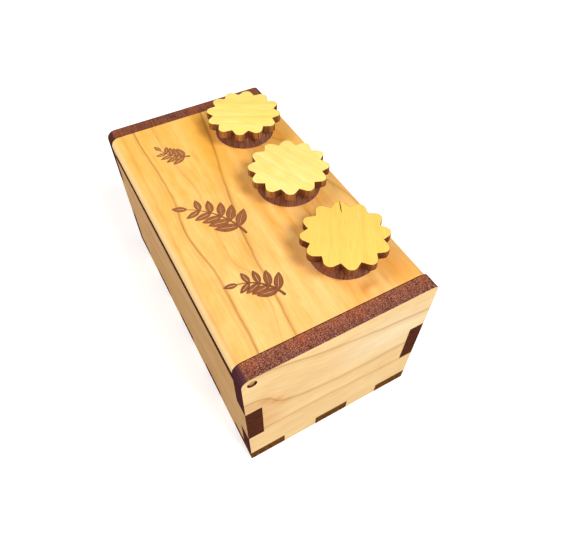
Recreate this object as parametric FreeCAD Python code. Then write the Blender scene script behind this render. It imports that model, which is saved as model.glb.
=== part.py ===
import FreeCAD, Part

import math
import os

# A small finger-jointed wooden box with a pin-hinged lid and three locking dials, in
# millimetres. X runs across the box from the hinge side (-X) to the lock side (+X), Y
# along its length from the near end (-Y) to the far end (+Y), and Z up. The origin is
# the middle of the underside. The box is shown closed and unlocked.

# Boards
BOX_WIDTH = 76.2
BOX_LENGTH = 138.0
BOX_HEIGHT = 71.2
BOARD = 6.35
THIN_BOARD = 3.175

# Finger joints: the side boards come through the end boards between two heights, and
# the bottom board shares its edges with the boards around it in equal fingers.
SIDE_FINGER_LOW = 23.3
SIDE_FINGER_HIGH = 46.3
END_FINGERS = 5
SIDE_FINGERS = 9

# Lid and its two hinge pins
LOCK_CORNER_RADIUS = 2.3
LID_END_GAP = 0.35
LID_SWEEP_GAP = 0.75
PIN_RADIUS = 1.5875
PIN_FLOOR = 0.9125
PIN_IN_LID = 12.0
PIN_RECESS = 1.0
PIN_HOLE_SPARE = 1.0

# Dials, from the scalloped plate down to the cam
DIAL_SPACING = 40.4
DIAL_INSET = 21.1
DIAL_PHASES = {"near": 5.2, "middle": 3.6, "far": -2.0}
PETALS = 12
PETAL_TIP_RADIUS = 16.1
PETAL_VALLEY_RADIUS = 13.4
PETAL_ROUNDING = 2.5
DISC_RADIUS = 12.9
SPINDLE_RADIUS = 3.175
WASHER_RADIUS = 6.35
WASHER_THICKNESS = 0.5

# Lock: a rail inside the lock side, and a cam with one flat under each dial
RAIL_WIDTH = 5.0
CAM_WALL_GAP = 1.4
CAM_RAIL_GAP = 0.5

# Screw that holds each cam to its spindle
SCREW_RADIUS = 1.4
SCREW_HEAD_RADIUS = 2.9
SCREW_HEAD_HEIGHT = 1.6
SCREW_HEAD_BEVEL = 0.5
SCREW_REACH = 9.5
SCREW_POINT = 2.0
SCREW_SLOT_WIDTH = 0.7
SCREW_SLOT_DEPTH = 0.8

# Fits, all measured on the radius
RUNNING_FIT = 0.08
GLUE_LINE = 0.05

# Levels and places that follow from the sizes above
LID_UNDERSIDE = BOX_HEIGHT - BOARD
PIN_Z = LID_UNDERSIDE + PIN_FLOOR + PIN_RADIUS
HINGE_RADIUS = BOX_HEIGHT - PIN_Z
PIN_X = -BOX_WIDTH / 2 + HINGE_RADIUS
LID_CORNER_SWEEP = math.hypot(HINGE_RADIUS, PIN_Z - LID_UNDERSIDE)
HINGE_SIDE_TOP = PIN_Z - LID_CORNER_SWEEP - LID_SWEEP_GAP
LID_HALF_LENGTH = BOX_LENGTH / 2 - BOARD - LID_END_GAP
DIAL_X = BOX_WIDTH / 2 - DIAL_INSET
PLATE_UNDERSIDE = BOX_HEIGHT + BOARD
SPACER_TOP = LID_UNDERSIDE - WASHER_THICKNESS
CAM_TOP = SPACER_TOP - THIN_BOARD
CAM_BOTTOM = CAM_TOP - THIN_BOARD
RAIL_FACE = BOX_WIDTH / 2 - BOARD - RAIL_WIDTH
CAM_RADIUS = DIAL_INSET - BOARD - CAM_WALL_GAP

# The lid swings the lower edge of a cam outward a little as it opens, so the flat is
# set where that edge still passes the rail.
FLAT_SWING_RADIUS = RAIL_FACE - CAM_RAIL_GAP - PIN_X
CAM_FLAT_X = PIN_X + math.sqrt(FLAT_SWING_RADIUS**2 - (PIN_Z - CAM_BOTTOM) ** 2)
CAM_FLAT = CAM_FLAT_X - DIAL_X


def block(x_limits, y_limits, z_limits):
    """Box between a low and a high limit along each axis."""
    sizes = [high - low for low, high in (x_limits, y_limits, z_limits)]
    corner = FreeCAD.Vector(x_limits[0], y_limits[0], z_limits[0])
    return Part.makeBox(sizes[0], sizes[1], sizes[2], corner)


def cylinder(radius, x, y, z_low, z_high):
    """Upright cylinder between two heights."""
    return Part.makeCylinder(radius, z_high - z_low, FreeCAD.Vector(x, y, z_low))


def fingers(length, count):
    """Limits of the equal fingers along an edge that is centred on zero."""
    step = length / count
    return [(-length / 2 + step * i, -length / 2 + step * (i + 1)) for i in range(count)]


def outer_strip(half_size, depth, side):
    """Limits of a strip of a given depth along one outer face: side is -1 or +1."""
    return tuple(sorted((side * half_size, side * (half_size - depth))))


def corner_arc(x, z, radius, start_degrees):
    """Quarter circle in the XZ plane, counter-clockwise from a start angle."""
    points = []
    for turn in (0, 45, 90):
        angle = math.radians(start_degrees + turn)
        points.append(FreeCAD.Vector(x + radius * math.cos(angle), 0, z + radius * math.sin(angle)))
    return Part.Arc(*points).toShape()


def rounded_section(z_low, hinge_radius, lock_radius, y_limits):
    """Board section in XZ with both top corners rounded, drawn out along Y."""
    half = BOX_WIDTH / 2
    lock_arc = corner_arc(half - lock_radius, BOX_HEIGHT - lock_radius, lock_radius, 0)
    hinge_arc = corner_arc(-half + hinge_radius, BOX_HEIGHT - hinge_radius, hinge_radius, 90)
    lock_foot = FreeCAD.Vector(half, 0, z_low)
    hinge_foot = FreeCAD.Vector(-half, 0, z_low)
    outline = [
        Part.makeLine(hinge_foot, lock_foot),
        Part.makeLine(lock_foot, lock_arc.Vertexes[0].Point),
        lock_arc,
        Part.makeLine(lock_arc.Vertexes[-1].Point, hinge_arc.Vertexes[0].Point),
        hinge_arc,
        Part.makeLine(hinge_arc.Vertexes[-1].Point, hinge_foot),
    ]
    face = Part.Face(Part.Wire(outline))
    face.translate(FreeCAD.Vector(0, y_limits[0], 0))
    return face.extrude(FreeCAD.Vector(0, y_limits[1] - y_limits[0], 0))


def hinge_bore(radius, y_limits):
    """Cylinder on the hinge axis between two places along the box."""
    start = FreeCAD.Vector(PIN_X, y_limits[0], PIN_Z)
    return Part.makeCylinder(radius, y_limits[1] - y_limits[0], start, FreeCAD.Vector(0, 1, 0))


def end_board(side):
    """End board with notches for the side fingers and for the bottom board's fingers."""
    y_limits = outer_strip(BOX_LENGTH / 2, BOARD, side)
    board = rounded_section(0, HINGE_RADIUS, LOCK_CORNER_RADIUS, y_limits)
    notches = [hinge_bore(PIN_RADIUS + GLUE_LINE, y_limits)]
    for edge in (-1, 1):
        x_limits = outer_strip(BOX_WIDTH / 2, BOARD, edge)
        notches.append(block(x_limits, y_limits, (SIDE_FINGER_LOW, SIDE_FINGER_HIGH)))
    for x_limits in fingers(BOX_WIDTH, END_FINGERS)[::2]:
        notches.append(block(x_limits, y_limits, (0, BOARD)))
    return board.cut(notches)


def side_board(side, top):
    """Side board with one finger at each end and a row of fingers along the bottom."""
    half_length = BOX_LENGTH / 2
    x_limits = outer_strip(BOX_WIDTH / 2, BOARD, side)
    board = block(x_limits, (-half_length, half_length), (0, top))
    notches = []
    for end in (-1, 1):
        y_limits = outer_strip(half_length, BOARD, end)
        notches.append(block(x_limits, y_limits, (0, SIDE_FINGER_LOW)))
        notches.append(block(x_limits, y_limits, (SIDE_FINGER_HIGH, top)))
    for y_limits in fingers(BOX_LENGTH, SIDE_FINGERS)[::2]:
        notches.append(block(x_limits, y_limits, (0, BOARD)))
    return board.cut(notches)


def bottom_board():
    """Bottom board, whose corners and every other finger come through to the outside."""
    half_width = BOX_WIDTH / 2
    half_length = BOX_LENGTH / 2
    z_limits = (0, BOARD)
    board = block((-half_width, half_width), (-half_length, half_length), z_limits)
    notches = []
    for side in (-1, 1):
        for x_limits in fingers(BOX_WIDTH, END_FINGERS)[1::2]:
            notches.append(block(x_limits, outer_strip(half_length, BOARD, side), z_limits))
        for y_limits in fingers(BOX_LENGTH, SIDE_FINGERS)[1::2]:
            notches.append(block(outer_strip(half_width, BOARD, side), y_limits, z_limits))
    return board.cut(notches)


def catch_rail():
    """Strip glued inside the lock side, flush with its top, that holds the cams down."""
    half = BOX_LENGTH / 2 - BOARD
    x_limits = (RAIL_FACE, BOX_WIDTH / 2 - BOARD)
    return block(x_limits, (-half, half), (LID_UNDERSIDE - THIN_BOARD, LID_UNDERSIDE))


def lid_board():
    """Lid with rounded long edges, three spindle holes and a blind pin hole in each end."""
    lid = rounded_section(
        LID_UNDERSIDE, HINGE_RADIUS, HINGE_RADIUS, (-LID_HALF_LENGTH, LID_HALF_LENGTH)
    )
    pin_hole_depth = PIN_IN_LID - LID_END_GAP + PIN_HOLE_SPARE
    holes = []
    for side in (-1, 1):
        y_limits = outer_strip(LID_HALF_LENGTH, pin_hole_depth, side)
        holes.append(hinge_bore(PIN_RADIUS + RUNNING_FIT, y_limits))
    for y in dial_places().values():
        holes.append(cylinder(SPINDLE_RADIUS + RUNNING_FIT, DIAL_X, y, LID_UNDERSIDE, BOX_HEIGHT))
    return lid.cut(holes)


def hinge_pin(side):
    """Brass rod fixed in an end board, a little below its face, that reaches into the lid."""
    y_limits = outer_strip(BOX_LENGTH / 2 - PIN_RECESS, BOARD - PIN_RECESS + PIN_IN_LID, side)
    return hinge_bore(PIN_RADIUS, y_limits)


def dial_places():
    """Place of each dial along the box, by name."""
    return {"near": -DIAL_SPACING, "middle": 0.0, "far": DIAL_SPACING}


def petal_points(y, middle):
    """Five points round one petal: valley, three on the round tip, and the next valley. The
    straight flanks touch the tip's circle, so they start square to its radius there."""
    half_step = math.pi / PETALS
    tip_centre = PETAL_TIP_RADIUS - PETAL_ROUNDING
    rise = PETAL_VALLEY_RADIUS * math.cos(half_step) - tip_centre
    side = PETAL_VALLEY_RADIUS * math.sin(half_step)
    touch = math.atan2(side, rise) - math.acos(PETAL_ROUNDING / math.hypot(rise, side))
    places = [(tip_centre + rise, -side)]
    for turn in (-touch, 0, touch):
        along = tip_centre + PETAL_ROUNDING * math.cos(turn)
        places.append((along, PETAL_ROUNDING * math.sin(turn)))
    places.append((tip_centre + rise, side))
    points = []
    for along, across in places:
        x = DIAL_X + along * math.cos(middle) - across * math.sin(middle)
        y_place = y + along * math.sin(middle) + across * math.cos(middle)
        points.append(FreeCAD.Vector(x, y_place, PLATE_UNDERSIDE))
    return points


def dial_plate(y, phase):
    """Scalloped plate: petals with round tips and straight flanks that meet in valleys."""
    edges = []
    for petal in range(PETALS):
        middle = math.radians(phase) + 2 * math.pi / PETALS * petal
        valley, start, tip, end, next_valley = petal_points(y, middle)
        edges.append(Part.makeLine(valley, start))
        edges.append(Part.Arc(start, tip, end).toShape())
        edges.append(Part.makeLine(end, next_valley))
    face = Part.Face(Part.Wire(edges))
    return face.extrude(FreeCAD.Vector(0, 0, THIN_BOARD))


def dial_disc(y):
    """Round disc that carries the plate above the lid and is glued to the spindle."""
    disc = cylinder(DISC_RADIUS, DIAL_X, y, BOX_HEIGHT, PLATE_UNDERSIDE)
    return disc.cut(cylinder(SPINDLE_RADIUS + GLUE_LINE, DIAL_X, y, BOX_HEIGHT, PLATE_UNDERSIDE))


def dial_spindle(y):
    """Dowel from the plate down to the cam, with a pilot hole for the screw."""
    pilot_top = CAM_TOP + SCREW_REACH + GLUE_LINE
    spindle = cylinder(SPINDLE_RADIUS, DIAL_X, y, CAM_TOP, PLATE_UNDERSIDE)
    return spindle.cut(cylinder(SCREW_RADIUS + GLUE_LINE, DIAL_X, y, CAM_TOP, pilot_top))


def dial_washer(y):
    """Brass washer on which the cam stack turns against the lid's underside."""
    washer = cylinder(WASHER_RADIUS, DIAL_X, y, SPACER_TOP, LID_UNDERSIDE)
    return washer.cut(cylinder(SPINDLE_RADIUS + RUNNING_FIT, DIAL_X, y, SPACER_TOP, LID_UNDERSIDE))


def cam_spacer(y):
    """Disc glued to the spindle that keeps the cam lower than the rail."""
    spacer = cylinder(CAM_FLAT, DIAL_X, y, CAM_TOP, SPACER_TOP)
    return spacer.cut(cylinder(SPINDLE_RADIUS + GLUE_LINE, DIAL_X, y, CAM_TOP, SPACER_TOP))


def lock_cam(y):
    """Disc with one flat: the flat lets the lid pass the rail, the round side does not."""
    disc = cylinder(CAM_RADIUS, DIAL_X, y, CAM_BOTTOM, CAM_TOP)
    waste = block(
        (DIAL_X + CAM_FLAT, DIAL_X + CAM_RADIUS + CAM_WALL_GAP),
        (y - CAM_RADIUS, y + CAM_RADIUS),
        (CAM_BOTTOM, CAM_TOP),
    )
    return disc.cut([waste, cylinder(SCREW_RADIUS + GLUE_LINE, DIAL_X, y, CAM_BOTTOM, CAM_TOP)])


def cam_screw(y):
    """Slotted screw with a bevelled flat head under the cam and a pointed shank above it."""
    head_bottom = CAM_BOTTOM - SCREW_HEAD_HEIGHT
    tip = CAM_TOP + SCREW_REACH
    profile = [
        FreeCAD.Vector(0, 0, head_bottom),
        FreeCAD.Vector(SCREW_HEAD_RADIUS - SCREW_HEAD_BEVEL, 0, head_bottom),
        FreeCAD.Vector(SCREW_HEAD_RADIUS, 0, head_bottom + SCREW_HEAD_BEVEL),
        FreeCAD.Vector(SCREW_HEAD_RADIUS, 0, CAM_BOTTOM),
        FreeCAD.Vector(SCREW_RADIUS, 0, CAM_BOTTOM),
        FreeCAD.Vector(SCREW_RADIUS, 0, tip - SCREW_POINT),
        FreeCAD.Vector(0, 0, tip),
    ]
    face = Part.Face(Part.makePolygon(profile + profile[:1]))
    screw = face.revolve(FreeCAD.Vector(0, 0, 0), FreeCAD.Vector(0, 0, 1), 360)
    slot = block(
        (-SCREW_HEAD_RADIUS, SCREW_HEAD_RADIUS),
        (-SCREW_SLOT_WIDTH / 2, SCREW_SLOT_WIDTH / 2),
        (head_bottom, head_bottom + SCREW_SLOT_DEPTH),
    )
    screw = screw.cut(slot)
    screw.translate(FreeCAD.Vector(DIAL_X, y, 0))
    return screw


def box_parts():
    """Boards and pins of the box, and its lid."""
    return {
        "near_end_board": end_board(-1),
        "far_end_board": end_board(1),
        "hinge_side_board": side_board(-1, HINGE_SIDE_TOP),
        "lock_side_board": side_board(1, LID_UNDERSIDE),
        "bottom_board": bottom_board(),
        "catch_rail": catch_rail(),
        "near_hinge_pin": hinge_pin(-1),
        "far_hinge_pin": hinge_pin(1),
        "lid_board": lid_board(),
    }


def dial_parts(name, y):
    """Everything that turns with one dial."""
    return {
        f"{name}_dial_plate": dial_plate(y, DIAL_PHASES[name]),
        f"{name}_dial_disc": dial_disc(y),
        f"{name}_dial_spindle": dial_spindle(y),
        f"{name}_dial_washer": dial_washer(y),
        f"{name}_cam_spacer": cam_spacer(y),
        f"{name}_lock_cam": lock_cam(y),
        f"{name}_cam_screw": cam_screw(y),
    }


def main():
    os.makedirs("parts", exist_ok=True)
    parts = box_parts()
    for name, y in dial_places().items():
        parts.update(dial_parts(name, y))
    for node, shape in parts.items():
        shape.exportStep(f"parts/{node}.step")
        print(node, len(shape.Solids), "solid", round(shape.Volume, 1), "mm3", shape.isValid())
    print("hinge axis at x", round(PIN_X, 3), "z", round(PIN_Z, 3))
    print("dial axes at x", round(DIAL_X, 3), "cam flat at", round(CAM_FLAT, 3))


main()
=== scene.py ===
import math
from functools import partial

import bmesh
import bpy
import numpy as np
from mathutils import Matrix, Vector


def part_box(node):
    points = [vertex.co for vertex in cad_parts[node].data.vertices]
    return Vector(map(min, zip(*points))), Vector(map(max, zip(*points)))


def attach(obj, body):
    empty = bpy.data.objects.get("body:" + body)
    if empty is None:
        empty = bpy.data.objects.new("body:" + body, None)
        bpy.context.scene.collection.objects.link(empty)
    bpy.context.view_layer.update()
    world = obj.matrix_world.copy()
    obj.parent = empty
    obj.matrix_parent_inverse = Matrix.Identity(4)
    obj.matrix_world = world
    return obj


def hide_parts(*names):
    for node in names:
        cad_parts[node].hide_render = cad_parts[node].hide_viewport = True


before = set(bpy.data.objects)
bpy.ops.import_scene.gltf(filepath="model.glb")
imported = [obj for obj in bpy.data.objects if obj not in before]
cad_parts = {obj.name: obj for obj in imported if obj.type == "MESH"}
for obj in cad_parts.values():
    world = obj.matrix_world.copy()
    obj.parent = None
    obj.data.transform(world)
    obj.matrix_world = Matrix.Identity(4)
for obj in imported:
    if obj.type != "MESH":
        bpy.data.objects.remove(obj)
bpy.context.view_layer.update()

bl_info = {
    "name": "Finger-jointed keepsake box",
    "version": (1, 0, 0),
    "blender": (4, 5, 0),
    "location": "View3D > Sidebar > Keepsake Box",
    "description": "Wooden box with a pin-hinged lid, three locking dials and engraved leaf sprigs",
    "category": "Object",
}

MM = 0.001
X_AXIS = Vector((1, 0, 0))
Y_AXIS = Vector((0, 1, 0))
Z_AXIS = Vector((0, 0, 1))

# Kinds of node that the materials use most
MATH = "ShaderNodeMath"
MIX = "ShaderNodeMix"
RANGE = "ShaderNodeMapRange"
SPLIT = "ShaderNodeSeparateXYZ"
VECTOR = "ShaderNodeVectorMath"

# Directions along and across the fibres, as each kind of piece is cut from its board
ACROSS_BOX = (X_AXIS, Z_AXIS)
ALONG_SIDE = (Y_AXIS, Z_AXIS)
ALONG_BASE = (Y_AXIS, X_AXIS)
ALONG_DOWEL = (Z_AXIS, X_AXIS)

# Share of a board's width that the growth count runs on beyond it
MARGIN = 0.2

# Growth lines: half the width of the core and the waver in millimetres, how dark the core's two sides are,
# the share of its fade over which a line pales, and the share of a gap between lines that it may fill
LINE_CORE = 0.55
LINE_WAVER = 0.8
CORE_SIDES = (0.28, 0.24)
PALING = 0.4
LINE_REACH = 0.9

# Noise in the materials, each with its features' length and width in millimetres and its detail
WAVER_NOISE = (14.0, 12.0, 2.5)
FADING_NOISE = (30.0, 12.0, 1.0)
CLOUD_NOISE = (26.0, 6.0, 3.0)
STREAK_NOISE = (45.0, 1.4, 2.0)
MOTTLE_NOISE = (7.0, 3.5, 3.0)
FIBRE_NOISE = (7.0, 0.35, 3.0)
BURN_NOISE = (1.4, 1.4, 3.0)
KERF_NOISE = (14.0, 0.7, 2.0)
SCORCH_NOISE = (5.0, 0.5, 3.0)
RUST_NOISE = (9.0, 9.0, 2.0)
SPECK_NOISE = (0.42, 0.36, 4.0)
FILM_NOISE = (3.0, 2.0, 3.0)
TURNING_NOISE = (0.08, 4.0, 2.0)
PAPER_NOISE = (1.2, 1.2, 2.0)

# Air left where one piece rests on another, so that their faces don't cut into each other when posed
CONTACT_GAP = 0.02 * MM

# Loose triangles are joined within this distance, and into one face within this angle
WELD_DISTANCE = 0.001 * MM
FLAT_ANGLE = math.radians(1)

# Least angle of an edge that stays sharp in the shading, and of one that is eased
SHARP_ANGLE = math.radians(35)
EASE_ANGLE = math.radians(40)

# Dials: turn of the first petal and direction of the plate's grain, in degrees
PETALS = 12
PETAL_TURNS = {"near": 5.2, "middle": 3.6, "far": -2.0}
PLATE_GRAINS = {"near": -122, "middle": -71, "far": -31}

# Burnt index line on the near plate: its direction in degrees, and its middle's distance from the axis,
# half its length and half its width in millimetres
INDEX_TURN = 64.6
INDEX_DISTANCE = 13.2
INDEX_HALVES = (4.2, 0.26)

# Limits of the lid's and of a plate's wood, along and across the grain, in millimetres
LID_LIMITS = ((-69.0, 69.0), (-38.1, 38.1))
PLATE_LIMITS = ((-17, 17), (-17, 17))

# Growth lines, each with its points (along the grain, across it) in millimetres, how dark it is, and
# over how many millimetres it darkens. They are listed in order across the board.
LID_LINES = (
    (((-69, -36), (-35, -36), (20, -33.5), (69, -33)), 0.3, 3.0),
    (((-69, -29.2), (-43, -27.5), (-25, -27.5), (-5, -29.5), (15, -27), (45, -27.5), (69, -28)), 0.72, 2.4),
    (((-69, -22), (-33, -16.5), (-27, -19.5), (-18, -20), (17, -17), (27, -18.5), (69, -19)), 0.3, 3.0),
    (((-69, -15.5), (-40, -13.3), (-20, -11.5), (-5, -9), (15, -5), (36, 0), (69, 6)), 0.88, 4.5),
    (((-69, 8), (-20, 16), (20, 19), (69, 14)), 0.15, 5.0),
    (((-69, 38), (-28, 37), (-15, 35), (0, 31), (22, 30), (33, 24), (69, 19)), 0.6, 4.0),
)
END_LINES = (
    (((-38, 27), (-25, 26), (-5, 26), (15, 24.5), (25, 23.5), (38, 24)), 0.65, 3.0),
    (((-38, 34), (0, 31), (38, 30)), 0.06, 3.0),
    (((-38, 54.3), (-30, 51.5), (-24, 43.5), (-15, 39.7), (0, 36.8), (20, 36.8), (38, 36.5)), 0.75, 5.0),
    (((-38, 62), (-20, 58), (-5, 50), (15, 46), (38, 44)), 0.1, 3.0),
    (((-38, 71.2), (-25, 70), (-10, 65), (0, 62.7), (20, 59), (38, 56.5)), 0.75, 4.0),
)
SIDE_LINES = (
    (((-69, 16), (0, 12), (69, 8)), 0.3, 3.0),
    (((-69, 29), (0, 24), (69, 17)), 0.4, 5.0),
    (((-69, 41), (0, 36), (69, 30)), 0.45, 7.0),
    (((-69, 50), (0, 47), (69, 42)), 0.3, 4.0),
    (((-69, 60), (0, 58), (69, 54)), 0.25, 3.0),
)
BASE_LINES = (
    (((-69, -26), (0, -24), (69, -27)), 0.4, 4.0),
    (((-69, -9), (0, -11), (69, -8)), 0.3, 5.0),
    (((-69, 8), (0, 5), (69, 9)), 0.35, 5.0),
    (((-69, 25), (0, 23), (69, 22)), 0.3, 4.0),
)
PLATE_LINES = (
    (((-17, -10), (0, -8), (17, -9)), 0.12, 4.0),
    (((-17, -4), (0, -3.5), (17, -2)), 0.2, 3.0),
    (((-17, 1), (0, 1.5), (17, 3)), 0.12, 4.0),
    (((-17, 8), (0, 6.5), (17, 8)), 0.16, 5.0),
)
NEAR_PLATE_LINES = (
    (((-17, -6), (0, -5), (17, -6)), 0.1, 4.0),
    (((-17, 6), (0, 6.5), (17, 6)), 0.1, 4.0),
)
CAM_LINES = (
    (((-69, 12), (0, 11), (69, 12)), 0.3, 4.0),
    (((-69, 22), (0, 23), (69, 22)), 0.3, 4.0),
)

# Patches where the wood changes tone, each with its centre and radii (along the grain, across it) in
# millimetres, its strength and its colour. Two of the lid's are painted shade over orange wood, where the
# dials' shadows fall.
LID_PATCHES = (
    ((69, 0), (120, 400), 0.5, "#FBBB42"),
    ((35, -3), (38, 8), 0.55, "#FFB52E"),
    # Orange wood with painted shade, where the far dial's shadow falls
    ((52, 2), (22, 5), 0.6, "#DC8C14"),
    ((28, 29), (12, 6), 0.5, "#E89A28"),
    ((-55, -22), (20, 14), 0.4, "#FFCC84"),
    ((-57, -2), (16, 13), 0.4, "#FFCC84"),
    # Orange wood deepened as painted shade along the strip left of the dials, where their shadows fall
    ((0, 1), (66, 5), 0.4, "#DE9434"),
    ((-58, 31), (17, 9), 0.6, "#F8A234"),
    ((-58.5, 16), (5, 6), 0.75, "#CC7A24"),
    ((-60, 17), (3.4, 4.4), 0.95, "#FFC876"),
    ((-17, 16), (5, 1.2), 0.5, "#D98A42"),
    ((15, 24), (16, 1.5), 0.3, "#D98A42"),
    ((-5, 27), (14, 1.2), 0.3, "#D98A42"),
    ((34, -9.5), (9, 1.5), 0.35, "#E8962C"),
)
END_PATCHES = (
    ((22, 52), (34, 20), 0.6, "#FFF2D2"),
    ((-34, 37), (18, 22), 0.5, "#E0A464"),
    ((-30, 50), (4.5, 3), 0.4, "#DE9048"),
    ((-26, 46), (4.5, 3.4), 0.55, "#DE9048"),
    ((-22, 42), (4.5, 2.8), 0.4, "#DE9048"),
    ((-12, 39), (9, 2), 0.25, "#DE9048"),
)
MIDDLE_PLATE_PATCHES = (((-5.4, -6.6), (7, 3.4), 0.6, "#FFD060"),)

# Leaf sprigs engraved in the lid: where the stem starts, its heading, length and bend, the pairs of leaves
# and the longest leaf, in millimetres and degrees
SPRIGS = (
    ((-11.5, 36.0), 160, 13.5, -48, 4, 6.6),
    ((-9.5, -15.0), 100, 27.0, 50, 5, 9.4),
    ((-10.5, -46.5), 106, 17.5, 64, 4, 7.8),
)

# Where the lid's surface is fine enough for the sprigs, across and along the lid, and its steps elsewhere,
# in millimetres
FINE_ACROSS = (-30.0, -4.5)
FINE_ALONG = ((-48.5, -29), (-17, 14), (33, 50))
COARSE_STEP = 3.0

# Engraving, in millimetres: the inside distance far from any sprig, the width of its sloped edge, and how
# far inside the edge its dark rim lies and how far the rim spreads
NOT_ENGRAVED = -9.0
EDGE_SLOPE = 0.3
RIM_INSIDE = 0.05
RIM_SPREAD = 0.22

# Soft lamps: name, place and side in metres, power in watts, colour. All face the aim.
LAMPS = (
    ("key", (0.21, -0.55, 0.715), 0.32, 6.4, (1.0, 0.98, 0.95)),
    ("window", (-0.68, 0.385, 0.81), 0.9, 9.2, (0.98, 0.97, 1.0)),
    ("fill", (0.05, -0.9, 0.32), 0.6, 1.3, (1.0, 1.0, 1.0)),
)
LAMP_AIM = (0.0, 0.0, 0.04)

# White paper under the box: half its side in metres, its colour in the light that it throws back and to
# the camera, and where its glow begins and is full, in millimetres from the box
PAPER_HALF = 1.5
PAPER_LIT = "#BDB6AB"
PAPER_SEEN = "#FCFCFC"
GLOW_LIMITS = (300.0, 800.0)


# Sizes and colours that a user would change


def hex_colour(default, label):
    """Text property that holds an sRGB hex colour."""
    return bpy.props.StringProperty(name=label, default=default)


def length(millimetres, label):
    """Length property with its default in millimetres."""
    return bpy.props.FloatProperty(name=label, default=millimetres * MM, unit="LENGTH")


class KeepsakeBoxWood(bpy.types.PropertyGroup):
    """Colours of the boards, of their burnt edges and of the brass, as sRGB hex."""

    lid_light: hex_colour("#FFD184", "Lid, pale")
    lid_deep: hex_colour("#F2B055", "Lid, honey")
    box_light: hex_colour("#FFE1A8", "End boards, pale")
    box_deep: hex_colour("#F2CC92", "End boards, tan")
    # The side boards' tones are darker than the end boards': partly the wood's own colour, partly painted
    # shade for the box's shaded long side
    side_pale_with_shade: hex_colour("#E6BC80", "Side boards, pale, with painted shade")
    side_tan_with_shade: hex_colour("#CE9C5C", "Side boards, tan, with painted shade")
    near_plate: hex_colour("#F8D068", "Near plate")
    near_grain: hex_colour("#F2C65C", "Near plate's grain")
    middle_plate: hex_colour("#FFE896", "Middle plate")
    middle_grain: hex_colour("#FFD970", "Middle plate's grain")
    far_plate: hex_colour("#FFE788", "Far plate")
    far_grain: hex_colour("#FFD968", "Far plate's grain")
    lid_line: hex_colour("#965E10", "Growth lines of the lid")
    growth_line: hex_colour("#BC7A22", "Growth lines of the boards")
    # Pale tone over the lid's rounded long edges: a painted highlight
    painted_edge_highlight: hex_colour("#FFDC9C", "Lid's long edges, painted highlight")
    engraved: hex_colour("#985834", "Sprigs")
    engraved_far: hex_colour("#B87A48", "Sprigs towards the far end")
    engraved_rim: hex_colour("#54291A", "Sprigs' rims")
    index_line: hex_colour("#4A2A10", "Near plate's index line")
    char_top: hex_colour("#9A5E42", "Near board, burnt along the fibres")
    char_outer: hex_colour("#7E4C42", "The same towards its outer face")
    char_near: hex_colour("#563238", "Near board, burnt across the fibres")
    char_far: hex_colour("#84503C", "Far board, burnt along the fibres")
    char_end: hex_colour("#523028", "Far board and lid, burnt across")
    char_base: hex_colour("#744C22", "Bottom board, burnt")
    char_side: hex_colour("#5A3224", "Side boards, burnt")
    char_disc: hex_colour("#9C7062", "Discs' rims")
    disc_end: hex_colour("#6A463C", "Discs' rims across the fibres")
    char_petal: hex_colour("#D4964C", "Plates' rims")
    char_near_petal: hex_colour("#B4743E", "Near plate's rim")
    petal_end_and_shade: hex_colour("#6E3E26", "Plates' rims across the fibres and painted shade in the valleys")
    scorch: hex_colour("#2A120C", "Scorched streaks")
    rust: hex_colour("#A8502E", "Rusty burn")
    pale_speck: hex_colour("#CC967C", "Ash")
    soot: hex_colour("#30120E", "Soot")
    brass: hex_colour("#F2D27C", "Brass")
    brass_film: hex_colour("#C29442", "Film on the brass")


class KeepsakeBoxSizes(bpy.types.PropertyGroup):
    """Sizes that the looks add to the construction, in metres."""

    board_ease: length(0.15, "Rounding of the boards' sharp edges")
    plate_ease: length(0.14, "Rounding of the dial plates' and discs' edges")
    pin_ease: length(0.6, "Rounding of the hinge pins' ends")
    lid_rounding: length(3.85, "Radius of the lid's long edges")
    petal_valley: length(13.4, "Dial axis to the valleys")
    petal_tip: length(16.1, "Dial axis to the petals' tips")
    petal_rounding: length(2.5, "Radius of the round tip of a petal")
    lid_reach: length(0.17, "How far each end of the lid closes its gap to the end board")
    pin_reach: length(0.7, "How far a pin's rounded end stands out of its rod")
    engraving_depth: length(0.25, "Depth of the engraved sprigs")
    engraving_pitch: length(0.17, "Mesh spacing over the sprigs")


class KeepsakeBoxView(bpy.types.PropertyGroup):
    """Camera at the photograph's place."""

    camera_place: bpy.props.FloatVectorProperty(
        name="Camera place", default=(-0.05712, -0.13027, 0.20883), subtype="TRANSLATION", unit="LENGTH"
    )
    camera_aim: bpy.props.FloatVectorProperty(
        name="Camera aim", default=(-0.00503, -0.03692, 0.0712), subtype="TRANSLATION", unit="LENGTH"
    )
    camera_roll: bpy.props.FloatProperty(
        name="Camera roll", default=math.radians(0.27), subtype="ANGLE"
    )
    focal_length: bpy.props.FloatProperty(
        name="Focal length in millimetres", default=31.21
    )


# Nodes shared by the materials


def to_linear(hex_code):
    """sRGB hex to linear RGBA: each channel by the sRGB curve."""
    channels = [int(hex_code[i : i + 2], 16) / 255 for i in (1, 3, 5)]
    linear = [c / 12.92 if c <= 0.04045 else ((c + 0.055) / 1.055) ** 2.4 for c in channels]
    return (*linear, 1.0)


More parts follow.
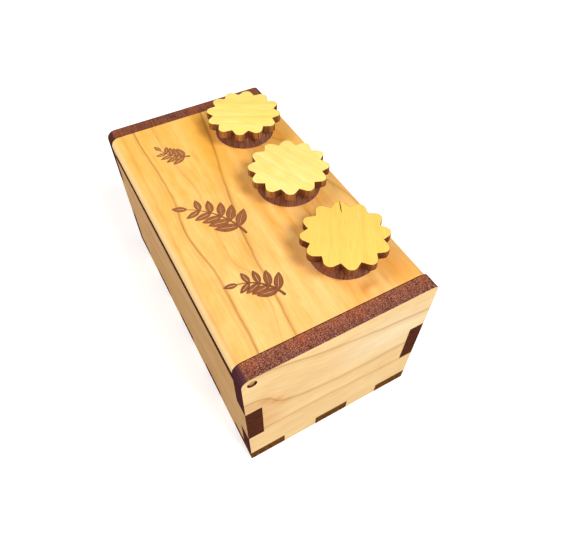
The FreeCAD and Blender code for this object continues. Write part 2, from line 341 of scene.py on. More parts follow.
def add_node(tree, kind, links=None, output=0, stops=None, curve=None, **settings):
    """Adds a node and returns one of its outputs. Settings are its properties, and links give each input a
    value or another output, by name or number: a colour Mix has its factor, A and B at 0, 6 and 7. Stops
    (place, value) fill a ramp, and points (place, value) a Float Curve."""
    node = tree.nodes.new(kind)
    for name, value in settings.items():
        setattr(node, name, value)
    for socket, value in (links or {}).items():
        if isinstance(value, bpy.types.NodeSocket):
            tree.links.new(value, node.inputs[socket])
        else:
            node.inputs[socket].default_value = value
    if stops:
        elements = node.color_ramp.elements
        while len(elements) < len(stops):
            elements.new(1.0)
        for element, (place, value) in zip(elements, sorted(stops)):
            element.position = place
            element.color = (value, value, value, 1.0)
    if curve:
        points = node.mapping.curves[0].points
        for place, value in curve[1:-1]:
            points.new(place, value)
        points[0].location = curve[0]
        points[len(points) - 1].location = curve[-1]
        node.mapping.update()
    return node.outputs[output] if node.outputs else None


def new_tree(name):
    """Empty node material: returns it and its tree."""
    material = bpy.data.materials.new(name)
    material.use_nodes = True
    material.node_tree.nodes.clear()
    return material, material.node_tree


def lay_surface(tree, inputs, height, relief, strength=1.0):
    """Ends a material: a height gives a relief in metres, and a Principled shader takes the inputs."""
    bump = add_node(tree, "ShaderNodeBump", {"Height": height, "Distance": relief, "Strength": strength})
    shader = add_node(tree, "ShaderNodeBsdfPrincipled", {**inputs, "Normal": bump})
    add_node(tree, "ShaderNodeOutputMaterial", {"Surface": shader})


def grain_place(tree, along, across, centre=(0.0, 0.0, 0.0)):
    """Object coordinates in millimetres, turned so that X runs along the grain and Y across it."""
    axes = Matrix((along, across, along.cross(across)))
    links = {
        "Vector": add_node(tree, "ShaderNodeTexCoord", output="Object"),
        "Location": -(axes @ Vector(centre)) / MM,
        "Rotation": axes.to_euler("XYZ"),
        "Scale": (1 / MM, 1 / MM, 1 / MM),
    }
    return add_node(tree, "ShaderNodeMapping", links)


def stretched_noise(tree, place, noise, seed):
    """Noise from 0 to 1, from the length and width of its features and its detail."""
    length_mm, width_mm, detail = noise
    sizes = (length_mm, width_mm, width_mm)
    point = add_node(tree, VECTOR, {0: place, 1: sizes}, operation="DIVIDE")
    links = {"Vector": point, "W": seed, "Scale": 1.0, "Detail": detail, "Roughness": 0.55}
    return add_node(tree, "ShaderNodeTexNoise", links, noise_dimensions="4D")


def noise_spots(tree, place, noise, seed, low, high, most):
    """Soft spots of a noise: none below its low value, and the most above its high one."""
    value = stretched_noise(tree, place, noise, seed)
    return add_node(tree, RANGE, {"Value": value, "From Min": low, "From Max": high, "To Max": most})


def lay_tones(tree, colour, layers):
    """Lays a series of tones (share, sRGB hex) over a colour, one after the other."""
    for share, tone in layers:
        colour = add_node(tree, MIX, {0: share, 6: colour, 7: to_linear(tone)}, 2, data_type="RGBA")
    return colour


def growth_count(tree, place, lines, limits, seed):
    """Counts growth lines across a board, as a share of their number plus one. Between two lines the count
    grows evenly from the first to the second, so it bends with them. The limits are those of the board
    along and across the grain, and a slow noise wavers the lines."""
    (along_low, along_high), (across_low, across_high) = limits
    width = across_high - across_low
    along = add_node(tree, SPLIT, {0: place}, 0)
    across = add_node(tree, SPLIT, {0: place}, 1)
    along = add_node(tree, RANGE, {"Value": along, "From Min": along_low, "From Max": along_high})
    across = add_node(tree, RANGE, {"Value": across, "From Min": across_low, "From Max": across_high})
    shift = stretched_noise(tree, place, WAVER_NOISE, seed)
    waver = {0: shift, 1: 2 * LINE_WAVER / width, 2: -LINE_WAVER / width}
    shift = add_node(tree, MATH, waver, operation="MULTIPLY_ADD")
    across = add_node(tree, MATH, {0: across, 1: shift})
    count = 0.0
    before = -MARGIN
    for points, _, _ in (*lines, (None, 0, 0)):
        after = 1.0 + MARGIN
        if points:
            length_mm = along_high - along_low
            shares = [((a - along_low) / length_mm, (c - across_low) / width) for a, c in points]
            after = add_node(tree, "ShaderNodeFloatCurve", {"Value": along}, curve=shares)
        links = {"Value": across, "From Min": before, "From Max": after, "To Max": 1 / (len(lines) + 1)}
        count = add_node(tree, MATH, {0: count, 1: add_node(tree, RANGE, links)})
        before = after
    return count


def line_stops(lines, limits):
    """Ramp stops over the growth count: each line darkens over its fade to a thin core and pales again
    faster. Millimetres become shares of the mean gap to the line before or after."""
    low, high = limits[1]
    margin = MARGIN * (high - low)
    means = [sum(c for _, c in points) / len(points) for points, _, _ in lines]
    middles = [low - margin, *means, high + margin]
    stops = [(0.0, 0.0), (1.0, 0.0)]
    rise, fall = CORE_SIDES
    for number, (_, strength, fade) in enumerate(lines, 1):
        before = middles[number] - middles[number - 1]
        after = middles[number + 1] - middles[number]
        shape = ((-fade, 0.0), (-LINE_CORE, rise), (0.0, 1.0), (LINE_CORE, fall), (PALING * fade, 0.0))
        for shift, value in shape:
            share = shift / (before if shift < 0 else after)
            share = min(max(share, -LINE_REACH), LINE_REACH)
            stops.append(((number + share) / (len(lines) + 1), strength * value))
    return stops


def soft_patch(tree, place, centre, radii):
    """How far inside an oval patch a point lies: 1 at its centre, 0 from its rim outwards."""
    inverse = [1 / radius for radius in radii]
    shift = [-c / radius for c, radius in zip(centre, radii)]
    links = {0: place, 1: (*inverse, 0.0), 2: (*shift, 0.0)}
    point = add_node(tree, VECTOR, links, operation="MULTIPLY_ADD")
    distance = add_node(tree, VECTOR, {0: point}, "Value", operation="LENGTH")
    inside = {"Value": distance, "From Min": 1.0, "From Max": 0.0}
    return add_node(tree, RANGE, inside, interpolation_type="SMOOTHSTEP")


def add_patches(tree, place, colour, patches):
    """Lays soft oval patches of other tones over a wood colour."""
    layers = []
    for centre, radii, strength, tone in patches:
        patch = soft_patch(tree, place, centre, radii)
        share = add_node(tree, MATH, {0: patch, 1: strength}, operation="MULTIPLY")
        layers.append((share, tone))
    return lay_tones(tree, colour, layers)


def growth_figure(tree, place, count, lines, limits, seed):
    """How dark the growth lines are at each point. They fade a little here and there."""
    figure = add_node(tree, "ShaderNodeValToRGB", {"Fac": count}, stops=line_stops(lines, limits))
    fading = stretched_noise(tree, place, FADING_NOISE, seed + 3)
    fading = add_node(tree, RANGE, {"Value": fading, "From Min": 0.3, "From Max": 0.6, "To Min": 0.7})
    return add_node(tree, MATH, {0: figure, 1: fading}, operation="MULTIPLY")


def ground_tone(tree, place, count, line_number, seed):
    """Share of the deeper tone between the growth lines: faint rings that follow them, a slow drift,
    streaks along the fibres and a mottle."""
    ring_place = add_node(tree, MATH, {0: count, 1: 9.0 * line_number}, operation="MULTIPLY")
    rings = add_node(tree, "ShaderNodeTexNoise", {"W": ring_place, "Scale": 1.0}, noise_dimensions="1D")
    cloud = stretched_noise(tree, place, CLOUD_NOISE, seed + 11)
    streaks = stretched_noise(tree, place, STREAK_NOISE, seed + 7)
    mottle = stretched_noise(tree, place, MOTTLE_NOISE, seed + 9)
    tone = add_node(tree, MATH, {0: rings, 1: 0.3, 2: cloud}, operation="MULTIPLY_ADD")
    tone = add_node(tree, MATH, {0: streaks, 1: 0.15, 2: tone}, operation="MULTIPLY_ADD")
    tone = add_node(tree, MATH, {0: mottle, 1: 0.5, 2: tone}, operation="MULTIPLY_ADD")
    return add_node(tree, RANGE, {"Value": tone, "From Min": 0.73, "From Max": 1.22})


def wood_colour(tree, place, palette, lines, limits, seed, patches=()):
    """Colour of an oiled board: a ground between two tones, patches of other tones, growth lines, and short
    fine fibres. Returns the colour and the fibre noise."""
    light, deep, line = palette
    count = growth_count(tree, place, lines, limits, seed)
    figure = growth_figure(tree, place, count, lines, limits, seed)
    tone = ground_tone(tree, place, count, len(lines), seed)
    tones = {0: tone, 6: to_linear(light), 7: to_linear(deep)}
    colour = add_patches(tree, place, add_node(tree, MIX, tones, 2, data_type="RGBA"), patches)
    fibres = stretched_noise(tree, place, FIBRE_NOISE, seed + 5)
    flecks = add_node(tree, RANGE, {"Value": fibres, "From Min": 0.45, "From Max": 0.8, "To Max": 0.22})
    return lay_tones(tree, colour, ((figure, line), (flecks, line))), fibres


def finish_wood(tree, colour, fibres):
    """Satin oil: roughness and a fine relief follow the fibres."""
    rough = add_node(tree, RANGE, {"Value": fibres, "To Min": 0.46, "To Max": 0.62})
    inputs = {"Base Color": colour, "Roughness": rough, "Specular IOR Level": 0.3}
    lay_surface(tree, inputs, fibres, relief=0.02 * MM)


def board_limits(node, along, across):
    """Limits of a node along and across its grain, in millimetres."""
    low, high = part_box(node)
    return [(low.dot(axis) / MM, high.dot(axis) / MM) for axis in (along, across)]


# Materials


def board_wood(name, node, grain, lines, tones, seed, patches=()):
    """Oiled alder, planed and sanded: pale tan with soft brown growth lines and short fine fibres, and
    orange patches where the fibres turn."""
    wood = bpy.context.scene.keepsake_wood
    material, tree = new_tree(name)
    place = grain_place(tree, *grain)
    palette = (*tones, wood.growth_line)
    limits = board_limits(node, *grain)
    colour, fibres = wood_colour(tree, place, palette, lines, limits, seed, patches)
    finish_wood(tree, colour, fibres)
    return material


def sprig_colour(tree, place):
    """Burn of the engraved sprigs: brown with spots of soot, darkest along the rims and fainter towards the
    lid's far end."""
    wood = bpy.context.scene.keepsake_wood
    rim = add_node(tree, "ShaderNodeAttribute", output="Fac", attribute_name="engraved_rim")
    soot = noise_spots(tree, place, BURN_NOISE, 6.0, 0.45, 0.7, 0.6)
    soot = add_node(tree, MATH, {0: rim, 1: soot}, operation="MAXIMUM")
    along = add_node(tree, SPLIT, {0: place}, 0)
    far = add_node(tree, RANGE, {"Value": along, "From Min": -50.0, "From Max": 69.0, "To Max": 0.5})
    layers = ((soot, wood.engraved_rim), (far, wood.engraved_far))
    return lay_tones(tree, to_linear(wood.engraved), layers)


def lid_wood():
    """Oiled alder of the lid, honey-coloured and paler towards the near end: two long growth lines that
    draw together, fainter ones between them, orange streaks and a pale knot at the near end, and painted
    shade in two patches where the dials' shadows fall. Its rounded long edges carry a painted highlight in a
    pale tone, and the sprigs are burnt into it."""
    wood = bpy.context.scene.keepsake_wood
    material, tree = new_tree("oiled_alder_lid")
    place = grain_place(tree, *ALONG_BASE)
    palette = (wood.lid_light, wood.lid_deep, wood.lid_line)
    colour, fibres = wood_colour(tree, place, palette, LID_LINES, LID_LIMITS, 4.0, LID_PATCHES)
    # Painted highlight: towards the rounded long edges the colour is mixed to a pale tone, standing in for
    # light on the rounding
    across = add_node(tree, SPLIT, {0: place}, 1)
    across = add_node(tree, MATH, {0: across}, operation="ABSOLUTE")
    sanded = add_node(tree, RANGE, {"Value": across, "From Min": 36.0, "From Max": 37.4, "To Max": 0.85})
    colour = add_node(tree, MIX, {0: sanded, 6: colour, 7: to_linear(wood.painted_edge_highlight)}, 2, data_type="RGBA")
    engraved = add_node(tree, "ShaderNodeAttribute", output="Fac", attribute_name="engraved")
    burn = sprig_colour(tree, place)
    colour = add_node(tree, MIX, {0: engraved, 6: colour, 7: burn}, 2, data_type="RGBA")
    finish_wood(tree, colour, fibres)
    return material


def index_mark(tree, centre, colour):
    """Lays the near plate's index line over its wood, short and dark as from a hot point."""
    wood = bpy.context.scene.keepsake_wood
    turn = math.radians(INDEX_TURN)
    outward = Vector((math.cos(turn), math.sin(turn), 0))
    sideways = Vector((-math.sin(turn), math.cos(turn), 0))
    mark = soft_patch(tree, grain_place(tree, outward, sideways, centre), (INDEX_DISTANCE, 0), INDEX_HALVES)
    mark = add_node(tree, RANGE, {"Value": mark, "From Max": 0.4})
    return add_node(tree, MIX, {0: mark, 6: colour, 7: to_linear(wood.index_line)}, 2, data_type="RGBA")


def plate_wood(name, centre):
    """Oiled alder of a dial plate, pale straw with faint bands, with a golden blotch on the middle plate
    and a burnt index line on the near one."""
    wood = bpy.context.scene.keepsake_wood
    material, tree = new_tree(f"oiled_alder_{name}_plate")
    turn = math.radians(PLATE_GRAINS[name])
    along = Vector((math.cos(turn), math.sin(turn), 0))
    across = Vector((-math.sin(turn), math.cos(turn), 0))
    place = grain_place(tree, along, across, centre)
    palette = (getattr(wood, f"{name}_plate"), getattr(wood, f"{name}_grain"), wood.lid_line)
    lines = NEAR_PLATE_LINES if name == "near" else PLATE_LINES
    colour, fibres = wood_colour(tree, place, palette, lines, PLATE_LIMITS, PLATE_GRAINS[name])
    if name == "middle":
        colour = add_patches(tree, place, colour, MIDDLE_PLATE_PATCHES)
    if name == "near":
        colour = index_mark(tree, centre, colour)
    finish_wood(tree, colour, fibres)
    return material


def speck_shares(tree, place, plain, speckle, seed):
    """Shares of the pale and of the dark specks on a burnt edge, most where it runs along the fibres."""
    salt = stretched_noise(tree, place, SPECK_NOISE, seed)
    most = add_node(tree, MATH, {0: plain, 1: speckle, 2: 0.06}, operation="MULTIPLY_ADD")
    shares = []
    for clear, full in ((0.52, 0.66), (0.48, 0.37)):
        specks = add_node(tree, RANGE, {"Value": salt, "From Min": clear, "From Max": full})
        shares.append(add_node(tree, MATH, {0: specks, 1: most}, operation="MULTIPLY"))
    return shares


def burnt_edge(name, kerf_axis, long_colour, end_and_shade_colour, speckle, seed, outer=None):
    """Laser-cut edge: wood charred red-brown and matt, darker across the fibres than along them, with the
    cutter's fine lines and dark scorched streaks through the thickness. On the plates the end-grain tone
    also lays painted shade in the petals' valleys. Along the fibres it turns rusty in places and has a salt
    of specks. An outer tone (first and last place through the thickness in millimetres, and colour) fades in
    from the outer face, and keeps the rust away there."""
    wood = bpy.context.scene.keepsake_wood
    material, tree = new_tree(name)
    place = grain_place(tree, kerf_axis, Z_AXIS if kerf_axis == Y_AXIS else Y_AXIS)
    end_grain_and_shade = add_node(tree, "ShaderNodeAttribute", output="Fac", attribute_name="end_grain_and_shade")
    plain = add_node(tree, MATH, {0: 1.0, 1: end_grain_and_shade}, operation="SUBTRACT")
    layers = []
    fade = 0.0
    if outer:
        through = add_node(tree, SPLIT, {0: place}, 0)
        fade = add_node(tree, RANGE, {"Value": through, "From Min": outer[1], "From Max": outer[0]})
        layers.append((fade, outer[2]))
    kerf = stretched_noise(tree, place, KERF_NOISE, seed)
    streaks = add_node(tree, RANGE, {"Value": kerf, "From Min": 0.35, "From Max": 0.75, "To Max": 0.6})
    scorch = noise_spots(tree, place, SCORCH_NOISE, seed + 6, 0.45, 0.65, 0.6)
    rust = noise_spots(tree, place, RUST_NOISE, seed + 2, 0.4, 0.7, speckle)
    inner = add_node(tree, MATH, {0: plain, 1: fade}, operation="SUBTRACT", use_clamp=True)
    rust = add_node(tree, MATH, {0: rust, 1: inner}, operation="MULTIPLY")
    pale, soot = speck_shares(tree, place, plain, speckle, seed + 4)
    layers += [(end_grain_and_shade, end_and_shade_colour), (streaks, end_and_shade_colour), (scorch, wood.scorch)]
    layers += [(rust, wood.rust), (pale, wood.pale_speck), (soot, wood.soot)]
    colour = lay_tones(tree, to_linear(long_colour), layers)
    height = add_node(tree, MATH, {0: kerf, 1: pale})
    inputs = {"Base Color": colour, "Roughness": 0.5, "Specular IOR Level": 0.0}
    lay_surface(tree, inputs, height, relief=0.04 * MM)
    return material


def turned_brass():
    """Brass rod, cut and left bare: warm yellow metal with fine turning marks and a faint dull film."""
    wood = bpy.context.scene.keepsake_wood
    material, tree = new_tree("turned_brass")
    place = grain_place(tree, Y_AXIS, Z_AXIS)
    film = stretched_noise(tree, place, FILM_NOISE, 2.0)
    marks = stretched_noise(tree, place, TURNING_NOISE, 5.0)
    tones = {0: film, 6: to_linear(wood.brass), 7: to_linear(wood.brass_film)}
    colour = add_node(tree, MIX, tones, 2, data_type="RGBA")
    rough = add_node(tree, RANGE, {"Value": film, "To Min": 0.16, "To Max": 0.4})
    inputs = {"Base Color": colour, "Roughness": rough, "Metallic": 1.0}
    lay_surface(tree, inputs, marks, relief=0.005 * MM)
    return material


# Meshes


def mesh_piece(name, points, faces, slots, materials, end_grain_and_shade=None):
    """New object from arrays: points in metres, faces, a material slot per face and its end-grain share,
    which on the plates also holds painted shade in the valleys.
    """
    mesh = bpy.data.meshes.new(name)
    mesh.from_pydata(points.tolist(), [], faces)
    for material in materials:
        mesh.materials.append(material)
    mesh.polygons.foreach_set("material_index", np.asarray(slots, np.int32))
    mesh.polygons.foreach_set("use_smooth", np.ones(len(faces), bool))
    if end_grain_and_shade is not None:
        layer = mesh.attributes.new("end_grain_and_shade", "FLOAT", "FACE")
        layer.data.foreach_set("value", np.asarray(end_grain_and_shade, np.float32))
    mesh.set_sharp_from_angle(angle=SHARP_ANGLE)
    mesh.update()
    piece = bpy.data.objects.new(name, mesh)
    bpy.context.scene.collection.objects.link(piece)
    return piece


def mark_cut_faces(mesh, face_axis, grain_along):
    """Joins a mesh's loose triangles into faces. Those square to the board's thickness keep the planed wood
    in slot 0, and all others are cut edges in slot 1, with their end-grain share."""
    work = bmesh.new()
    work.from_mesh(mesh)
    bmesh.ops.remove_doubles(work, verts=work.verts, dist=WELD_DISTANCE)
    bmesh.ops.dissolve_limit(work, angle_limit=FLAT_ANGLE, verts=work.verts, edges=work.edges)
    work.normal_update()
    layer = work.faces.layers.float.new("end_grain_and_shade")
    for face in work.faces:
        planed = abs(face.normal.dot(face_axis)) > 0.9
        face.material_index = 0 if planed else 1
        face[layer] = min(1.0, 2.0 * abs(face.normal.dot(grain_along))) ** 2
        face.smooth = True
    work.to_mesh(mesh)
    work.free()


def eased_board(node, body, face_axis, grain_along, materials):
    """Copy of a board in two materials, planed wood and burnt edge, with its sharp edges eased."""
    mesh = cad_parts[node].data.copy()
    mesh.name = node + "_eased"
    mesh.materials.clear()
    for material in materials:
        mesh.materials.append(material)
    mark_cut_faces(mesh, face_axis, grain_along)
    piece = bpy.data.objects.new(node + "_eased", mesh)
    bpy.context.scene.collection.objects.link(piece)
    bevel = piece.modifiers.new("eased edges", "BEVEL")
    bevel.width = bpy.context.scene.keepsake_sizes.board_ease
    bevel.segments = 2
    bevel.limit_method = "ANGLE"
    bevel.angle_limit = EASE_ANGLE
    bevel.material = 1
    bevel.loop_slide = False
    flat = piece.modifiers.new("flat faces", "WEIGHTED_NORMAL")
    flat.mode = "FACE_AREA"
    flat.weight = 100
    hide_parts(node)
    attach(piece, body)


def scalloped_outline(tip, valley, rounding, phase, inset, steps):
    """Outline of petals about the axis, each a round tip with two straight flanks. A flank touches the tip's
    circle at the angle where it also passes through the valley. An inset shrinks the tip's circle, and the
    valley moves in to s = (circle + centre * cos touch) / cos(touch - half step) on its ray."""
    half = math.pi / PETALS
    centre = tip - rounding
    rise = valley * math.cos(half) - centre
    side = valley * math.sin(half)
    touch = math.atan2(side, rise) - math.acos(rounding / math.hypot(rise, side))
    circle = rounding - inset
    valley_now = (circle + centre * math.cos(touch)) / math.cos(touch - half)
    sweep = np.linspace(-touch, touch, steps)
    out = np.r_[valley_now * math.cos(half), centre + circle * np.cos(sweep)]
    over = np.r_[-valley_now * math.sin(half), circle * np.sin(sweep)]
    petal_angles = phase + 2 * half * np.arange(PETALS)[:, None]
    x = out * np.cos(petal_angles) - over * np.sin(petal_angles)
    y = out * np.sin(petal_angles) + over * np.cos(petal_angles)
    return np.stack([x.ravel(), y.ravel()], 1)


def round_outline(radius, inset, steps):
    """Circle about the axis, shrunk by an inset."""
    angle = np.linspace(0, 2 * math.pi, steps, endpoint=False)
    return (radius - inset) * np.stack([np.cos(angle), np.sin(angle)], 1)


def rim_burn_and_valley_shade(edge_starts, edge_ends, grain_angle):
    """End-grain share of each side of an outline, with painted shade: more where it faces along the grain,
    and most in the valleys between the petals, where the darkening is painted shade in the recesses."""
    along = edge_ends - edge_starts
    normal = np.column_stack([along[:, 1], -along[:, 0]]) / np.linalg.norm(along, axis=1)[:, None]
    grain = np.array([math.cos(grain_angle), math.sin(grain_angle)])
    middle = (edge_ends + edge_starts) / 2
    # Painted shade: the share rises towards the valleys between the petals
    reach = np.hypot(middle[:, 0], middle[:, 1])
    valley = np.clip((reach.max() - reach) / (2.5 * MM), 0, 1)
    return np.clip(0.4 * (normal @ grain) ** 2 + valley, 0, 1)


def eased_disc(name, outline, centre, z_limits, ease, grain_angle, materials):
    """Flat cut piece: its outline carried through the thickness along a profile with quarter-round edges,
    inset = ease * (1 - cos a) and height = ease * (1 - sin a) from the face, and closed by two faces."""
    z_low, z_high = z_limits
    turns = np.radians([0, 30, 60, 90])
    inset = ease * (1 - np.cos(turns))
    height = ease * (1 - np.sin(turns))
    heights = np.r_[z_low + height[::-1], z_high - height]
    rings = [outline(step) for step in np.r_[inset[::-1], inset]]
    count = len(rings[0])
    points = [np.column_stack([ring + centre, np.full(count, z)]) for ring, z in zip(rings, heights)]
    corner = np.arange(count)
    following = (corner + 1) % count
    walls = []
    for low in range(0, (len(rings) - 1) * count, count):
        high = low + count
        walls.append(np.column_stack([low + corner, low + following, high + following, high + corner]))
    walls = np.concatenate(walls)
    top = (len(rings) - 1) * count + corner
    faces = [list(corner[::-1]), list(top)] + walls.tolist()
    widest = rings[len(turns) - 1]
    share = np.tile(rim_burn_and_valley_shade(widest, widest[following], grain_angle), len(rings) - 1)
    slots = np.r_[0, 0, np.ones(len(walls), int)]
    return mesh_piece(name, np.concatenate(points), faces, slots, materials, np.r_[0, 0, share])


def leaf_burn(x, y, base, heading, length_mm, width):
    """How far inside a leaf each point lies, in millimetres. At the share t of its length it is half as wide
    as width * sin(pi * t^0.85)^0.8, and its vein is left unburnt."""
    along = (x - base[0]) * math.cos(heading) + (y - base[1]) * math.sin(heading)
    across = -(x - base[0]) * math.sin(heading) + (y - base[1]) * math.cos(heading)
    share = np.clip(along / length_mm, 0, 1)
    half_width = width / 2 * np.sin(math.pi * share**0.85) ** 0.8
    inside = np.where((along > 0) & (along < length_mm), half_width - np.abs(across), -1.0)
    vein = np.where((share > 0.2) & (share < 0.7), np.abs(across) - 0.1, 1.0)
    return np.minimum(inside, vein * 1.6)


def sprig_burn(x, y, start, heading, stem, bend, pairs, leaf):
    """How far inside one sprig each point lies: a stem that turns evenly and tapers, pairs of leaves that
    shorten along it, and a leaf at its tip."""
    count = 60
    angle = heading + bend * np.linspace(0, 1, count)
    step = stem / (count - 1)
    stem_x = start[0] + np.r_[0, np.cumsum(np.cos(angle[:-1]) * step)]
    stem_y = start[1] + np.r_[0, np.cumsum(np.sin(angle[:-1]) * step)]
    burn = leaf_burn(x, y, (stem_x[-1], stem_y[-1]), angle[-1], leaf * 0.66, leaf * 0.3)
    for place_x, place_y, half_width in zip(stem_x, stem_y, np.linspace(0.55, 0.22, count)):
        burn = np.maximum(burn, half_width - np.hypot(x - place_x, y - place_y))
    for pair in range(pairs):
        at = int(count * (0.16 + 0.8 * pair / pairs))
        size = leaf * (1 - 0.4 * pair / pairs)
        for side in (-1, 1):
            lean = angle[at] + side * math.radians(54)
            burn = np.maximum(burn, leaf_burn(x, y, (stem_x[at], stem_y[at]), lean, size, size * 0.44))
    return burn


def engraving(x, y):
    """How far inside any sprig the points lie, in millimetres: above zero is engraved."""
    burn = np.full(x.shape, NOT_ENGRAVED)
    for start, heading, stem, bend, pairs, leaf in SPRIGS:
        near = np.hypot(x - start[0], y - start[1]) < stem + 2 * leaf
        turns = (math.radians(heading), stem, math.radians(bend))
        sprig = sprig_burn(x[near], y[near], start, *turns, pairs, leaf)
        burn[near] = np.maximum(burn[near], sprig)
    return burn


def spaced(stretches):
    """Increasing places over stretches (low, high, step) that follow one another."""
    places = []
    for low, high, step in stretches:
        count = max(1, math.ceil((high - low) / step))
        places.append(np.linspace(low, high, count, endpoint=False))
    return np.r_[np.concatenate(places), stretches[-1][1]]


def lid_rows(end, pitch):
    """Places along the lid, from its near end to its far end."""
    stretches = []
    reached = -end
    for fine_low, fine_high in FINE_ALONG:
        stretches += [(reached, fine_low, COARSE_STEP), (fine_low, fine_high, pitch)]
        reached = fine_high
    return spaced([*stretches, (reached, end, COARSE_STEP)])


def lid_section(low, high, radius, pitch):
    """Points of the lid's section in millimetres, from its underside at the hinge over the top to its lower
    lock corner: a round about the hinge axis that goes on below it, a flat, and a quarter circle."""
    below = math.degrees(math.asin(((high.z - low.z) / MM - radius) / radius))
    turn = np.radians(np.linspace(180 + below, 90, 19))
    left_x = low.x / MM + radius + radius * np.cos(turn)
    left_z = high.z / MM - radius + radius * np.sin(turn)
    turn = np.radians(np.linspace(90, 0, 13))
    right_x = high.x / MM - radius + radius * np.cos(turn)
    right_z = high.z / MM - radius + radius * np.sin(turn)
    before_fine = (left_x[-1], FINE_ACROSS[0], COARSE_STEP)
    after_fine = (FINE_ACROSS[1], right_x[0], COARSE_STEP)
    flat_x = spaced([before_fine, (*FINE_ACROSS, pitch), after_fine])[1:-1]
    x = np.r_[left_x, flat_x, right_x, high.x / MM]
    z = np.r_[left_z, np.full(len(flat_x), high.z / MM), right_z, low.z / MM]
    return x, z


def grid_skin(rows, columns):
    """Faces between the rows of a grid, each row closed into a ring."""
    row = np.arange(rows - 1)[:, None] * columns
    column = np.arange(columns)[None, :]
    corner = (row + column).ravel()
    beside = (row + (column + 1) % columns).ravel()
    return np.column_stack([corner, beside, beside + columns, corner + columns])


def lid_piece(materials):
    """Lid as one surface: its section carried along Y, with the sprigs sunk into the flat by a smooth step
    of the engraving's inside distance, and with both ends closed."""
    sizes = bpy.context.scene.keepsake_sizes
    low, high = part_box("lid_board")
    low.z += CONTACT_GAP
    pitch = sizes.engraving_pitch / MM
    x, z = lid_section(low, high, sizes.lid_rounding / MM, pitch)
    y = lid_rows((high.y + sizes.lid_reach) / MM, pitch)
    grid_y, grid_x = np.meshgrid(y, x, indexing="ij")
    grid_z = np.broadcast_to(z, grid_x.shape).copy()
    burn = engraving(grid_x, grid_y)
    burn[:, (x < FINE_ACROSS[0]) | (x > FINE_ACROSS[1])] = NOT_ENGRAVED
    ramp = np.clip(burn / EDGE_SLOPE + 0.5, 0, 1)
    depth = ramp * ramp * (3 - 2 * ramp)
    grid_z -= sizes.engraving_depth / MM * depth
    points = np.stack([grid_x, grid_y, grid_z], 2).reshape(-1, 3) * MM
    rows, columns = grid_x.shape
    skin = grid_skin(rows, columns)
    near_end = np.arange(columns)[::-1]
    far_end = (rows - 1) * columns + np.arange(columns)
    faces = skin.tolist() + [near_end.tolist(), far_end.tolist()]
    is_end = np.r_[np.zeros(len(skin), int), 1, 1]
    piece = mesh_piece("lid_with_sprigs", points, faces, is_end, materials, is_end)
    rim = np.exp(-((burn - RIM_INSIDE) ** 2) / (2 * RIM_SPREAD**2))
    for name, values in (("engraved", depth), ("engraved_rim", rim)):
        layer = piece.data.attributes.new(name, "FLOAT", "POINT")
        layer.data.foreach_set("value", values.ravel().astype(np.float32))
    return piece


def make_plate(name, centre, face, seed):
    """Scalloped plate of a dial, its rim lightly burnt."""
    wood = bpy.context.scene.keepsake_wood
    sizes = bpy.context.scene.keepsake_sizes
    low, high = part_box(f"{name}_dial_plate")
    tone = wood.char_near_petal if name == "near" else wood.char_petal
    char = burnt_edge(f"burnt_{name}_plate", Z_AXIS, tone, wood.petal_end_and_shade, speckle=0.3, seed=seed)
    radii = (sizes.petal_tip, sizes.petal_valley, sizes.petal_rounding)
    petals = partial(scalloped_outline, *radii, math.radians(PETAL_TURNS[name]), steps=13)
    turn = math.radians(PLATE_GRAINS[name])
    limits = (low.z, high.z)
    plate = eased_disc(f"{name}_plate", petals, centre, limits, sizes.plate_ease, turn, [face, char])
    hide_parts(f"{name}_dial_plate")
    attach(plate, f"{name}_dial")


def make_disc(name, centre, face, seed):
    """Round disc under a dial's plate, cut with its grain in another direction."""
    wood = bpy.context.scene.keepsake_wood
    low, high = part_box(f"{name}_dial_disc")
    char = burnt_edge(f"burnt_{name}_disc", Z_AXIS, wood.char_disc, wood.disc_end, speckle=0.06, seed=seed)
    rim = partial(round_outline, (high.x - low.x) / 2, steps=96)
    turn = math.radians(PLATE_GRAINS[name]) + 0.8
    ease = bpy.context.scene.keepsake_sizes.plate_ease
    limits = (low.z + CONTACT_GAP, high.z)
    disc = eased_disc(f"{name}_disc", rim, centre, limits, ease, turn, [face, char])
    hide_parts(f"{name}_dial_disc")
    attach(disc, f"{name}_dial")


def make_pin(node, brass):
    """Hinge pin along Y, a rod with rounded ends, the outer one brought out towards the board's face."""
    sizes = bpy.context.scene.keepsake_sizes
    low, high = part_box(node)
    centre = np.array([(low.x + high.x) / 2, (low.z + high.z) / 2])
    rod = partial(round_outline, (high.x - low.x) / 2, steps=48)
    reach = sizes.pin_reach
    ends = (-high.y, -low.y + reach) if low.y < 0 else (-high.y - reach, -low.y)
    pin = eased_disc(node + "_turned", rod, centre, ends, sizes.pin_ease, 0.0, [brass, brass])
    pin.data.transform(Matrix.Rotation(math.radians(90), 4, "X"))
    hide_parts(node)
    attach(pin, "box")


# Stage


def area_lamp(name, place, size, power, colour):
    """Square area lamp at a place, turned to face the box."""
    light = bpy.data.lights.new(name, "AREA")
    light.size = size
    light.energy = power
    light.color = colour
    lamp = bpy.data.objects.new(name, light)
    lamp.location = place
    lamp.rotation_euler = (Vector(LAMP_AIM) - Vector(place)).to_track_quat("-Z", "Y").to_euler()
    bpy.context.scene.collection.objects.link(lamp)


